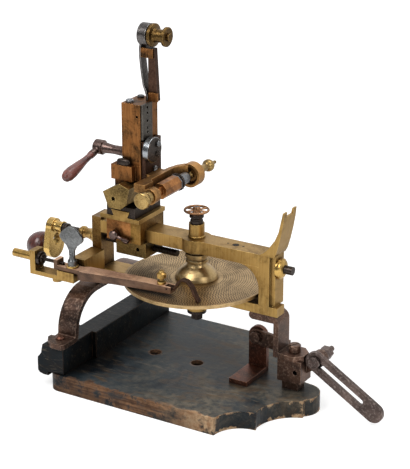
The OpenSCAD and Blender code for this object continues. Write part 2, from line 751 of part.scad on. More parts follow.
// Tower: a block with a shallow pocket for the pinion and a groove for the rack
cavity_half = 16.5;
mouth_top = foot_top + 36;
mouth_x = tower_x1 - 5;
rack_top = lever_z + slide_travel + 9;
module tower_cavity() {
    groove_y1 = -pitch_r + tooth_add + slide_gap;
    slab([mouth_x, -cavity_half, foot_top - 11], [tower_x1 + 1, cavity_half, mouth_top]);
    slab([mouth_x, -cavity_half, cross_z], [tower_x1 + 1, groove_y1, rack_top + 3]);
}
ledge = 9;
module tower_foot() {
    color(copper) difference() {
        union() {
            slab([tower_x0 - 13, -tower_half_d, cross_z + 20], [tower_x1, tower_half_d, foot_top]);
            slab([tower_x0 - 13, -tower_half_d - ledge, cross_z + 37.8], [tower_x0 + 21, 0, foot_top]);
        }
        along_y(-tower_half_d - 1, tower_half_d + 1) polygon(cross_outline);
        along_y(-tower_half_d - 1, tower_half_d + 1) polygon([
            cross_outline[3] + [-1, 0.34], cross_outline[3], [tower_x1 + 5, cross_z + 31],
            [tower_x1 + 5, cross_z], cross_outline[2]]);
        tower_cavity();
    }
}
module tower_body() {
    color(copper) difference() {
        slab([tower_x0, -tower_half_d, foot_top], [tower_x1, tower_half_d, tower_top]);
        tower_cavity();
        rod_x(tower_x0 - 1, mouth_x + 1, 0, lever_z, shaft_r + run_gap);
        rod_y(-tower_half_d - 1, -tower_half_d + 3, tower_x1 - 5, tower_top - 17, 2);
    }
}
strip_z = mouth_top + 2;
strip_t = 3.5;
strip_half = 12;
strip_y = -8.5;
strip_top = tower_top;
module slide_strip() {
    color(steel) difference() {
        slab([tower_x1, strip_y - strip_half, strip_z],
             [tower_x1 + strip_t, strip_y + strip_half, strip_top]);
        for (d = [5, 13, 24, 34, 40])
            rod_x(tower_x1 - 1, tower_x1 + strip_t + 1, strip_y, strip_top - d, 2);
    }
}

// Spring arm that carries the idler spool over the tower's edge
arm_y = 10;
arm_half = 7;
strap_half = 4;
strap_x0 = tower_x1 - 4;
strap_top = idler_z - idler_r - 2;
clip_z = strap_top - 13;
axle_r = 4;
module arm_blocks() {
    front_y = arm_y - arm_half;
    color(copper) union() {
        slab([strap_x0 + 2, front_y, tower_top], [strap_x0 + 16, arm_y - strap_half, tower_top + 12]);
        slab([spring_face, front_y, clip_z], [strap_x0, arm_y + arm_half, strap_top]);
        slab([strap_x0 - 1, front_y, clip_z], [strap_x0 + 9, arm_y - strap_half, strap_top]);
    }
}
module arm_strap() {
    color(dark_steel) along_y(arm_y - strap_half, arm_y + strap_half) polygon([
        [strap_x0, tower_top], [strap_x0 + 14, tower_top], [strap_x0 + 10, strap_top],
        [strap_x0, strap_top]]);
}
// Leaf spring: bowed out from the tower's top, clipped to the strap, curled over the spool
spring_t = 2.6;
spring_x = strap_x0 - 11.4;
spring_face = spring_x + spring_t / 2;
eye_x = spring_x + 2;
idler_x0 = strap_x0 + 5;
drum_x1 = idler_x0 - slide_gap - 2;
module arm_spring() {
    foot_x = strap_x0 - spring_t / 2;
    path = [
        [foot_x, tower_top], [foot_x, tower_top + 8], [foot_x - 5, tower_top + 21],
        [spring_x + 2.7, tower_top + 36], [spring_x, clip_z], [spring_x, strap_top],
        [eye_x, idler_z - 9], [eye_x, idler_z]];
    color(steel) difference() {
        union() {
            along_y(arm_y - arm_half, arm_y + arm_half) polygon(ribbon(path, spring_t));
            rod_x(eye_x - spring_t / 2, drum_x1, arm_y, idler_z, idler_r - 0.5);
        }
        rod_x(eye_x - 5, drum_x1 + 1, arm_y, idler_z, axle_r + run_gap);
    }
}
idler_w = 25;
module idler_axle() {
    head_x = eye_x - spring_t / 2 - 0.05;
    collar_x = drum_x1 + 0.05;
    end_x = idler_x0 + idler_w + slide_gap;
    color(dark_steel) union() {
        rod_x(head_x - 3, end_x + 3, arm_y, idler_z, axle_r);
        rod_x(head_x - 3, head_x, arm_y, idler_z, 7);
        rod_x(collar_x, idler_x0 - slide_gap, arm_y, idler_z, 6);
        rod_x(end_x, end_x + 3, arm_y, idler_z, 5.5);
    }
}
module idler_pulley() {
    color(bright_brass) translate([idler_x0, arm_y, idler_z]) turned_x([
        [idler_r, 0], [idler_r, 3.5], [10, 5], [9, 8], [9, 18], [10, 20], [idler_r - 2.5, 21],
        [idler_r - 2.5, idler_w - 1], [idler_r - 4, idler_w]], axle_r + run_gap);
}

// Cutter slide: plate, disc and rack
slide_z0 = cutter_z - 2;
slide_half = 20;
disc_z = foot_top + 23;
module slide_plate() {
    color(dark_steel) slab([slide_x0, -slide_half, slide_z0], [slide_x1, slide_half, mouth_top - 1]);
}
module slide_disc() {
    r = 18;
    t = 9;
    color(steel) translate([slide_x1, -9, disc_z]) difference() {
        union() {
            turned_x([[r, 0], [r, t - 1.5], [r - 1.5, t]]);
            for (z = [-7, 7]) rod_x(t, t + 2.5, 7, z, 4);
        }
        for (z = [-7, 7]) slab([t + 1, 2, z - 0.7], [t + 3, 12, z + 0.7]);
    }
}
pitch_r = pinion_mod * pinion_teeth / 2;
tooth_pitch = PI * pinion_mod;
tooth_add = 0.7 * pinion_mod;
tooth_ded = 1.1 * pinion_mod;
rack_back = cavity_half - slide_gap;
rack_x0 = mouth_x + slide_gap;
rack_x1 = tower_x1 - slide_gap;
module slide_rack() {
    z0 = lever_z - 10;
    last = floor((slide_travel + 5) / tooth_pitch);
    color(steel) union() {
        slab([rack_x0, -rack_back, z0], [rack_x1, -pitch_r - tooth_ded, rack_top]);
        slab([rack_x1 - 1, -rack_back, z0], [slide_x0, -pitch_r - tooth_ded, mouth_top - 3]);
        for (i = [-1 : last]) along_x(rack_x0, rack_x1)
            translate([-pitch_r, lever_z + (i + 0.5) * tooth_pitch]) polygon([
                [-tooth_ded - 0.01, -0.25 * tooth_pitch], [tooth_add, -0.11 * tooth_pitch],
                [tooth_add, 0.11 * tooth_pitch], [-tooth_ded - 0.01, 0.25 * tooth_pitch]]);
    }
}
module feed_pinion() {
    color(steel) difference() {
        along_x(rack_x0, rack_x1) translate([0, lever_z]) union() {
            circle(pitch_r - tooth_ded);
            for (i = [0 : pinion_teeth - 1]) rotate(180 + i * 360 / pinion_teeth) polygon([
                [pitch_r - tooth_ded - 0.5, -0.24 * tooth_pitch], [pitch_r + tooth_add, -0.1 * tooth_pitch],
                [pitch_r + tooth_add, 0.1 * tooth_pitch], [pitch_r - tooth_ded - 0.5, 0.24 * tooth_pitch]]);
        }
        rod_x(rack_x0 - 1, rack_x1 + 1, 0, lever_z, shaft_r + run_gap);
    }
}

// Yoke: a bar across the slide with two cheeks that hold the cutter's centres
yoke_y0 = -70;
yoke_y1 = 47;
yoke_low = cutter_z + 3.3;
yoke_high = cutter_z + 15.3;
front_cheek_y1 = yoke_y0 + 13;
rear_cheek_y0 = yoke_y1 - 15;
centre_r = 5;
// The bar seen from above: wide at the front cheek, narrow past the cutter, curved into the rear ring
yoke_plan = [
    [-23.5, yoke_y0], [-6.5, yoke_y0], [-6.5, yoke_y0 + 20], [-13, yoke_y0 + 26], [-13, 14], [-10, 22],
    [-4, rear_cheek_y0 - 2], [0, rear_cheek_y0 + 1], [0, yoke_y1 - 4], [-10, rear_cheek_y0 + 4],
    [-16, rear_cheek_y0 - 6], [-19.5, 12], [-20.5, 0]];
module yoke() {
    color(copper) difference() {
        union() {
            translate([cutter_x, 0, yoke_low]) linear_extrude(yoke_high - yoke_low) polygon(yoke_plan);
            slab([slide_x1, -18, slide_z0], [cutter_x - 15, 14, yoke_high - 5.5]);
            slab([cutter_x - 13, yoke_y0, cutter_z - 5], [cutter_x, front_cheek_y1, cutter_z + 9]);
            rod_y(yoke_y0, front_cheek_y1, cutter_x, cutter_z, 11);
            rod_y(rear_cheek_y0, yoke_y1, cutter_x, cutter_z, cheek_r);
        }
        rod_y(yoke_y0 - 1, yoke_y1 + 1, cutter_x, cutter_z, centre_r + run_gap);
        translate([cutter_x, rear_cheek_y0 - 0.01, cutter_z]) turned_y([[13, 0], [9, 5]]);
    }
}
// Centre screws: thumb knob with a locknut in front, ball knob behind
tip_r = 1.3;
arbor_y0 = front_cheek_y1 + 6;
arbor_y1 = rear_cheek_y0 - 3;
module front_centre() {
    color(bright_brass) translate([cutter_x, 0, cutter_z]) union() {
        turned_y([
            [thumb_r - 1, yoke_y0 - 20], [thumb_r, yoke_y0 - 19], [thumb_r, yoke_y0 - 14],
            [thumb_r - 2, yoke_y0 - 13], [7, yoke_y0 - 12], [7, yoke_y0 - 9], [9, yoke_y0 - 8],
            [9, yoke_y0 - slide_gap],
            [centre_r, yoke_y0 - slide_gap], [centre_r, front_cheek_y1 + 2], [tip_r, arbor_y0 - slide_gap],
            [tip_r, arbor_y0 + 2.5]]);
    }
}
module rear_centre() {
    y = yoke_y1 + slide_gap;
    color(bright_brass) translate([cutter_x, 0, cutter_z]) turned_y(concat(
        [[tip_r, arbor_y1 - 2.5], [tip_r, arbor_y1 + slide_gap], [centre_r, rear_cheek_y0 + 2],
         [centre_r, y], [8, y], [6.5, y + 10], [5, y + 29]],
        [for (a = [-55 : 11 : 55]) [ball_r * cos(a), y + 37 + ball_r * sin(a)]],
        [[2.6, y + 45], [2.6, y + 55], [1.5, y + 57]]));
}
// Cutter arbor: octagonal bush, flange and steel barrel, centred at both ends
cutter_y0 = 0;
module cutter_arbor() {
    flange_r = 7;
    color(steel) translate([cutter_x, 0, cutter_z]) difference() {
        union() {
            turned_y([[4, arbor_y0], [6, arbor_y0 + 2], [6, arbor_y0 + 8], [flange_r, arbor_y0 + 8],
                      [flange_r, cutter_y0], [4, cutter_y0], [4, cutter_y0 + cutter_t],
                      [8, cutter_y0 + cutter_t], [8, arbor_y1 - 6], [5, arbor_y1]]);
            translate([0, arbor_y0 + 8, 0]) rotate([-90, 0, 0]) rotate(22.5)
                cylinder(h = cutter_y0 - 2 - arbor_y0 - 8, r = cutter_bush_r, $fn = 8);
        }
        rod_y(arbor_y0 - 1, arbor_y0 + 4, 0, 0, tip_r + run_gap);
        rod_y(arbor_y1 - 4, arbor_y1 + 1, 0, 0, tip_r + run_gap);
    }
}
module cutter() {
    tooth = 2;
    root = cutter_r - tooth;
    step = 360 / cutter_teeth;
    color(dark_steel) translate([cutter_x, cutter_y0, cutter_z]) rotate([-90, 0, 0]) difference() {
        linear_extrude(cutter_t) polygon([for (i = [0 : cutter_teeth - 1], j = [0, 1])
            (j == 0 ? root : cutter_r) * [cos((i + j * 0.75) * step), sin((i + j * 0.75) * step)]]);
        rod_z(-1, cutter_t + 1, 0, 0, 4 + run_gap);
    }
}

// Feed lever: shaft through the tower's wall, waisted neck, boss and pear grip
shaft_r = 5;
lever_x = tower_x0 - 52;
grip_start = 22;
grip_droop = 14;
module feed_lever() {
    neck = tower_x0 - slide_gap - lever_x;
    color(dark_steel) union() {
        rod_x(tower_x0 - slide_gap - 1, rack_x1, 0, lever_z, shaft_r);
        translate([lever_x, 0, lever_z]) turned_x([
            [8, -8], [10.5, -6], [10.5, 6], [8, 8], [7, 16], [6.4, 24], [7, neck - 12], [8.3, neck - 5],
            [8.3, neck]]);
        translate([lever_x, 0, lever_z]) rotate([90 + grip_droop, 0, 0])
            turned([[5, 0], [4.5, 12], [5.5, 16], [5.5, grip_start], [3, grip_start], [3, grip_start + 30]]);
    }
}
module lever_grip() {
    length = lever_len - grip_start;
    color(wood) translate([lever_x, 0, lever_z]) rotate([90 + grip_droop, 0, 0]) translate([0, 0, grip_start])
        difference() {
            turned([[5, 0], [5.5, 2], [4.6, 6], [5, length * 0.25], [7.2, length * 0.5], [8.8, length * 0.72],
                    [8.6, length * 0.86], [6.5, length * 0.95], [3, length]]);
            rod_z(-1, 30 + run_gap, 0, 0, 3 + run_gap);
        }
}

// Index: bracket fixed to the left post, arm that slides in it, spring point
index_z = plate_top - 10;
index_y0 = -index_y - index_w / 2;
index_y1 = -index_y + index_w / 2;
bracket_x0 = left_post_out - 60;
wing_x = left_post_out + 6.5;
micro_z = index_z + 20;
bracket_t = 9;
wing_r = 3.5;
module index_bracket() {
    color(old_brass) difference() {
        union() {
            slab([bracket_x0, index_y0 - 2, index_z - 2],
                 [bracket_x0 + bracket_t, index_y1 + 2, index_z + 33]);
            slab([bracket_x0, index_y0 - 2, index_z - 2], [wing_x + 8, index_y1 + 2, index_z + 4]);
            slab([wing_x - 20, index_y0 - 2, index_z], [wing_x + 8, index_y1, index_z + 12]);
            rod_z(index_z - 8, index_z - 2, bracket_x0 + 40, -index_y, 7);
            slab([left_post_out + 1, index_y1, index_z - 2], [-left_post_in + 5, -bar_half_w, index_z + 4]);
            slab([left_post_out - 2, index_y1 + 2.5, index_z + 4],
                 [-left_post_in + 5, -bar_half_w, index_z + 27]);
        }
        rod_x(bracket_x0 - 1, bracket_x0 + bracket_t + 1, -index_y, micro_z, micro_r + run_gap);
        rod_z(index_z - 3, index_z + 13, wing_x, -index_y, wing_r + run_gap);
    }
}
// Arm: rises gently to clear the plate, swells past the bracket, tapers to the point
arm_x0 = bracket_x0 + 46;
arm_x1 = 8;
arm_low = index_z + 4 + slide_gap;
arm_step_x = wing_x + 8 + index_travel + 1;
arm_tip_low = plate_top + 6;
arm_rise_x = -sqrt(pow(plate_r, 2) - pow(index_y1, 2)) - 7;
arm_tip_half = 6.8;
swell_x = -left_post_in + 14;
swell_half = index_w / 2 + 3.5;
arm_side = [
    [arm_x0 - 6, arm_low + 8], [arm_step_x, arm_low + 8], [arm_step_x, arm_low],
    [arm_rise_x, plate_top + 1.5], [arm_x1, arm_tip_low], [arm_x1, arm_tip_low + 9],
    [arm_x1 - 40, arm_tip_low + 9], [left_post_out + 18, arm_low + 14], [arm_x0, arm_low + 14],
    [arm_x0, arm_low + 22], [arm_x0 - 6, arm_low + 22]];
arm_edge = [
    [arm_x0 - 7, index_w / 2], [swell_x - 7, index_w / 2], [swell_x - 2, swell_half - 0.6],
    [swell_x + 2, swell_half], [swell_x + 8, swell_half], [arm_x1 + 1, arm_tip_half]];
arm_far_edge = [for (i = [len(arm_edge) - 1 : -1 : 0]) [arm_edge[i][0], -arm_edge[i][1]]];
module index_arm() {
    color(copper) difference() {
        intersection() {
            along_y(-index_y - swell_half, -index_y + swell_half) polygon(arm_side);
            translate([0, -index_y, 0]) linear_extrude(arm_low + 40) polygon(concat(arm_edge, arm_far_edge));
        }
        for (s = [-1, 1]) rod_z(arm_low - 1, arm_low + 15, wing_x + s * index_travel, -index_y, wing_r + 0.5);
        slab([wing_x - index_travel, -index_y - wing_r - 0.5, arm_low - 1],
             [wing_x + index_travel, -index_y + wing_r + 0.5, arm_low + 15]);
        rod_x(arm_x0 - 7, arm_x0 + 12, -index_y, micro_z, micro_tip_r + 0.3);
        slab([point_x - 4.35, -index_y - 4.5, arm_tip_low + 3],
             [arm_x1 + 1, -index_y + 4.5, arm_tip_low + 20]);
        rod_y(index_y0 - 1, index_y1 + 1, point_x, point_z, point_pin_r + run_gap);
    }
}
micro_tip_r = 2.5;
module micrometer_screw() {
    y = -index_y;
    color(bright_brass) union() {
        rod_x(bracket_x0 - 34, bracket_x0 - slide_gap, y, micro_z, micro_r + 1.5);
        rod_x(bracket_x0 - slide_gap - 1, bracket_x0 + bracket_t + slide_gap, y, micro_z, micro_r);
        translate([bracket_x0 + bracket_t + slide_gap, y, micro_z])
            turned_x([[9, 0], [10, 1], [10, 5], [6, 6], [6, 8]]);
        rod_x(bracket_x0 + bracket_t, arm_x0 + 6, y, micro_z, micro_tip_r);
    }
}
// Spring point: pivots on a cross pin in the arm's end, lifted out of the plate by hand
point_x = arm_x1 - 6;
point_z = arm_tip_low + 6;
point_pin_r = 1.5;
point_reach = 49;
module index_point() {
    path = [[point_x, point_z], [arm_x1 + 4, point_z + 1], [arm_x1 + 9, point_z + 10],
            [arm_x1 + 15, point_z + 16], [arm_x1 + 23, point_z + 15.5], [arm_x1 + 31, point_z + 8],
            [point_reach - 5, plate_top + 9],
            [point_reach, plate_top + slide_gap + 1]];
    color(steel) union() {
        along_y(-index_y - 4, -index_y + 4) polygon(ribbon(path, 3));
        rod_y(-index_y - 4, -index_y + 4, point_x, point_z, 2.6);
        rod_y(-index_y - arm_tip_half - 0.7, -index_y + arm_tip_half + 0.7, point_x, point_z, point_pin_r);
    }
}
module thumb_screw() {
    color(bright_brass) translate([point_x - 12, -index_y, arm_tip_low + 9])
        turned([[6, 0], [6, 4], [3, 5], [3, 8], [6.5, 9], [6.5, 15], [3.5, 17], [3.5, 19]]);
}
// Wing screw: washer, collar and slim stem under a fan-shaped head
module wing_screw() {
    base = arm_low + 14 + slide_gap;
    half = fan_w / 2;
    side = [
        [4, 17], [4.2, 24], [8, 31], [half - 4, 37], [half - 0.5, 41], [half, 44], [half - 2, 48],
        [half - 7, 53], [6, 58]];
    color(steel) translate([wing_x, -index_y, base]) union() {
        rod_z(index_z - 2 - base, 0.5, 0, 0, wing_r);
        turned([[9, 0], [9, 2], [6.5, 2.5], [6.5, 9], [4.5, 12], [3.6, 20]]);
        along_y(-1.8, 1.8) polygon(concat(side, [[0, 59]], flip(side)));
    }
}

base_board();
end_cleat();
arch_leg();
leg_screws();
right_leg();
leg_block();
block_screw();
foot_bracket();
leg_brace();
stay();
stay_bolt();
left_post();
top_bar();
right_post();
bottom_bar();
horn();
dome_washer();
horn_bolt();
arbor_bush();
pivot_screw();
dividing_plate();
pedestal();
spindle();
clamp_nut();
hand_wheel();
saddle();
saddle_plate();
keeper();
clamp_lever();
leadscrew();
screw_trumpet();
crank_arm();
crank_knob();
cross_base();
cross_block();
tower_foot();
tower_body();
slide_strip();
arm_blocks();
arm_strap();
arm_spring();
idler_axle();
idler_pulley();
slide_plate();
slide_disc();
slide_rack();
yoke();
front_centre();
rear_centre();
cutter_arbor();
cutter();
feed_lever();
lever_grip();
feed_pinion();
index_bracket();
index_arm();
index_point();
thumb_screw();
wing_screw();
micrometer_screw();
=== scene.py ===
"""Looks of the bench wheel cutting engine: finishes for every CAD node, small pieces, light and camera."""
import json

import bpy
import numpy as np
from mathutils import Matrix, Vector


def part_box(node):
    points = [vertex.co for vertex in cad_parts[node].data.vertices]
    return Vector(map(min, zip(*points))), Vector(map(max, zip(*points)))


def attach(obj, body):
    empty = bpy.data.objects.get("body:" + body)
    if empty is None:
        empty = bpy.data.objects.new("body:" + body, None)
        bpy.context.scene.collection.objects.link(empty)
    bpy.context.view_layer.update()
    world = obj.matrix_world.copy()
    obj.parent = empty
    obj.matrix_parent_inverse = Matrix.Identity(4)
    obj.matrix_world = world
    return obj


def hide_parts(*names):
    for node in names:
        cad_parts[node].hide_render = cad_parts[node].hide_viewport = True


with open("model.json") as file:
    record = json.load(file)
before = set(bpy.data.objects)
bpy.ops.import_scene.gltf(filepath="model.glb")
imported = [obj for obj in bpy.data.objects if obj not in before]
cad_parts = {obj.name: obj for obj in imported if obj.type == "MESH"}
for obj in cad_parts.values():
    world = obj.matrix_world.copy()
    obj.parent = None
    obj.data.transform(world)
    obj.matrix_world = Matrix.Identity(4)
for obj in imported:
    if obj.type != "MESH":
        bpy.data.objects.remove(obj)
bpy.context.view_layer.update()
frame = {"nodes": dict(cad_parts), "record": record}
nodes = frame["nodes"]
MM = 0.001


def tint(r, g, b):
    """A colour written 0 to 255 as seen on a screen, turned into linear light."""
    seen = np.array([r, g, b], float) / 255.0
    linear = np.where(seen <= 0.04045, seen / 12.92, ((seen + 0.055) / 1.055) ** 2.4)
    return (float(linear[0]), float(linear[1]), float(linear[2]), 1.0)


def tones(*colours):
    """Several colours, each written as tint takes it."""
    return [tint(*colour) for colour in colours]


class Nodes:
    """Short calls that add nodes to one shader tree. A value is another node's output or a constant."""

    def __init__(self, tree):
        self.tree = tree
        tree.nodes.clear()

    def node(self, kind, **settings):
        made = self.tree.nodes.new(kind)
        for key, value in settings.items():
            setattr(made, key, value)
        return made

    def feed(self, socket, value):
        """Links an output to a socket, or sets a constant on it."""
        if isinstance(value, bpy.types.NodeSocket):
            self.tree.links.new(value, socket)
        else:
            socket.default_value = value

    def built(self, kind, output, inputs, **settings):
        """The named output of a new node whose inputs, by name or number, are fed."""
        made = self.node(kind, **settings)
        for key, value in inputs.items():
            self.feed(made.inputs[key], value)
        return made.outputs[output]

    def math(self, way, a, b=0.0, clamp=False):
        return self.built("ShaderNodeMath", 0, {0: a, 1: b}, operation=way, use_clamp=clamp)

    def plus(self, a, b, clamp=False):
        return self.math("ADD", a, b, clamp)

    def minus(self, a, b, clamp=False):
        return self.math("SUBTRACT", a, b, clamp)

    def times(self, a, b):
        return self.math("MULTIPLY", a, b)

    def larger(self, a, b, clamp=False):
        return self.math("MAXIMUM", a, b, clamp)

    def vector(self, way, output, a, b=(0.0, 0.0, 0.0)):
        return self.built("ShaderNodeVectorMath", output, {0: a, 1: b}, operation=way)

    def span(self, value, low, high, out_low=0.0, out_high=1.0):
        """The value carried from the range low..high to out_low..out_high, clamped."""
        ends = {0: value, 1: low, 2: high, 3: out_low, 4: out_high}
        return self.built("ShaderNodeMapRange", 0, ends)

    def part(self, name, vector):
        """One of X, Y and Z of a vector."""
        return self.built("ShaderNodeSeparateXYZ", name, {0: vector})

    def mix(self, share, a, b):
        """Colour a, with its share of colour b."""
        return self.built("ShaderNodeMix", 2, {0: share, 6: a, 7: b}, data_type="RGBA", blend_type="MIX")


class Finish(Nodes):
    """A procedural finish on Object coordinates, with one Principled shader."""

    def __init__(self, name, metallic=0.0, roughness=0.5, specular=0.5):
        self.material = bpy.data.materials.new(name)
        self.material.use_nodes = True
        super().__init__(self.material.node_tree)
        self.shader = self.node("ShaderNodeBsdfPrincipled")
        self.set("Metallic", metallic)
        self.set("Roughness", roughness)
        self.set("Specular IOR Level", specular)
        self.feed(self.node("ShaderNodeOutputMaterial").inputs["Surface"], self.shader.outputs[0])
        self.place = self.node("ShaderNodeTexCoord").outputs["Object"]

    def set(self, name, value):
        self.feed(self.shader.inputs[name], value)

    def axis(self, name):
        """The place along X, Y or Z."""
        return self.part(name, self.place)

    def stretched(self, *scale):
        """The place scaled along each axis, so that a grain runs one way."""
        return self.built("ShaderNodeMapping", 0, {"Vector": self.place, "Scale": scale})

    def noise(self, scale, detail=4.0, rough=0.55, at=None, warp=0.0):
        inputs = {"Vector": at or self.place, "Scale": scale, "Detail": detail, "Roughness": rough,
                  "Distortion": warp}
        return self.built("ShaderNodeTexNoise", 0, inputs)

    def face_normal(self):
        return self.node("ShaderNodeNewGeometry").outputs["True Normal"]

    def upward(self):
        """How far a face looks up: 1 on a level top, 0 on an upright side."""
        return self.part("Z", self.face_normal())

    def soft_edge(self, radius):
        """The normal rounded over every sharp edge, and how far it leans from the flat face there."""
        rounded = self.built("ShaderNodeBevel", 0, {"Radius": radius}, samples=6)
        agree = self.vector("DOT_PRODUCT", "Value", rounded, self.face_normal())
        return rounded, self.minus(1.0, agree, clamp=True)

    def soil_and_shade(self, reach, low, high):
        """How much soiling and painted shade a spot gets: 1 deep in a corner or against a neighbour, 0 out in
        the open.
        """
        open_sky = self.built("ShaderNodeAmbientOcclusion", "AO", {"Distance": reach}, samples=8)
        return self.span(open_sky, low, high, 1.0, 0.0)

    def rings(self, x, z, pitch):
        """Turning marks about an axis along Y through x and z: a sine of the distance from the axis."""
        shifted = self.vector("SUBTRACT", 0, self.place, (x, 0.0, z))
        across = self.vector("MULTIPLY", 0, shifted, (1.0, 0.0, 1.0))
        return self.math("SINE", self.times(self.vector("LENGTH", "Value", across), 2 * np.pi / pitch))

    def bump(self, height, depth, normal=None):
        inputs = {"Strength": 1.0, "Distance": depth, "Height": height}
        if normal is not None:
            inputs["Normal"] = normal
        return self.built("ShaderNodeBump", 0, inputs)


def worn_metal(name, three_tones, rough=(0.3, 0.52), grain=(1, 1, 1), patch=24.0, pits=0.06 * MM, edge=0.8,
               cover=(0.54, 0.78), soil_shade_span=(0.28, 0.9), split=None, other=None, turned=None, metallic=1.0):
    """Old metal in three tones, bright, body and tarnish: the body is clouded by tarnish, darkened with
    soiling and painted shade in the corners, rubbed bright along its edges and lined by a fine grain. Past
    the place split (axis, metres), or where a face looks up by more than split ("up", share), the three tones
    of other hold. turned (x, z, pitch) adds turning rings about a Y axis."""
    made = Finish(name, metallic=metallic)
    normal, lean = made.soft_edge(0.8 * MM)
    cloud = made.noise(patch, 6.0, 0.62, warp=0.6)
    speck = made.noise(patch * 11, 4.0, 0.6)
    lines = made.noise(420.0, 3.0, 0.6, at=made.stretched(*grain))
    if split:
        way, border = split
        place = made.upward() if way == "up" else made.axis(way)
        past = made.span(place, border - 0.2 * MM, border + 0.2 * MM)
        three_tones = [made.mix(past, first, second) for first, second in zip(three_tones, other)]
    bright, body, tarnish = three_tones
    clouded = made.span(made.plus(cloud, made.times(speck, 0.25)), *cover)
    colour = made.mix(clouded, body, tarnish)
    colour = made.mix(made.span(lines, 0.35, 0.7, 0.0, 0.22), colour, bright)
    # soiling and painted shade: the colour darkens where the AO finds corners and nearby parts
    deep = made.times(made.soil_and_shade(16 * MM, *soil_shade_span), made.span(speck, 0.25, 0.6, 0.7, 1.0))
    colour = made.mix(made.times(deep, 0.85), colour, tint(38, 26, 16))
    rub = made.times(made.span(lean, 0.02, 0.22), made.span(speck, 0.3, 0.6, 0.35, 1.0))
    made.set("Base Color", made.mix(made.times(rub, edge), colour, bright))
    sheen = made.span(made.plus(cloud, made.times(lines, 0.3)), 0.4, 0.9, *rough)
    made.set("Roughness", made.plus(sheen, made.times(deep, 0.18), clamp=True))
    height = made.plus(made.times(speck, 0.6), made.times(lines, 0.5))
    if turned:
        height = made.plus(height, made.times(made.rings(*turned), 1.6))
    made.set("Normal", made.bump(height, pits, normal))
    return made.material


def forged_iron(name, three_tones, metallic=0.8):
    """Wrought iron with a brown skin in three tones, bare, rust and black: clouds of black and rust, pitted,
    and rubbed to a dull shine on its edges."""
    bare, rust, black_skin = three_tones
    made = Finish(name, metallic=metallic)
    normal, lean = made.soft_edge(1.0 * MM)
    cloud = made.noise(28.0, 7.0, 0.65, warp=0.5)
    pit = made.noise(330.0, 5.0, 0.6)
    colour = made.mix(made.span(cloud, 0.36, 0.64), black_skin, rust)
    colour = made.mix(made.span(pit, 0.52, 0.72, 0.0, 0.55), colour, bare)
    # soiling and painted shade: near black where the AO finds corners and nearby parts
    colour = made.mix(made.times(made.soil_and_shade(10 * MM, 0.3, 0.85), 0.8), colour, tint(22, 17, 14))
    made.set("Base Color", made.mix(made.span(lean, 0.03, 0.25, 0.0, 0.6), colour, bare))
    made.set("Roughness", made.span(pit, 0.3, 0.75, 0.3, 0.56))
    made.set("Normal", made.bump(pit, 0.16 * MM, normal))
    return made.material


def polished_wood(name, pale, dark, along):
    """Turned hardwood: streaks of two tones along one axis under a thin polish, darker in the pores."""
    made = Finish(name, roughness=0.32)
    streaks_per_metre = [18 if axis == along else 240 for axis in "XYZ"]
    streak = made.noise(1.0, 5.0, 0.6, at=made.stretched(*streaks_per_metre), warp=0.4)
    worn = made.noise(45.0, 4.0, 0.6)
    colour = made.mix(made.span(streak, 0.34, 0.66), dark, pale)
    made.set("Base Color", made.mix(made.span(worn, 0.55, 0.75, 0.0, 0.6), colour, dark))
    made.set("Roughness", made.span(worn, 0.3, 0.7, 0.24, 0.48))
    made.set("Normal", made.bump(streak, 0.08 * MM))
    made.set("Coat Weight", 0.25)
    made.set("Coat Roughness", 0.2)
    return made.material


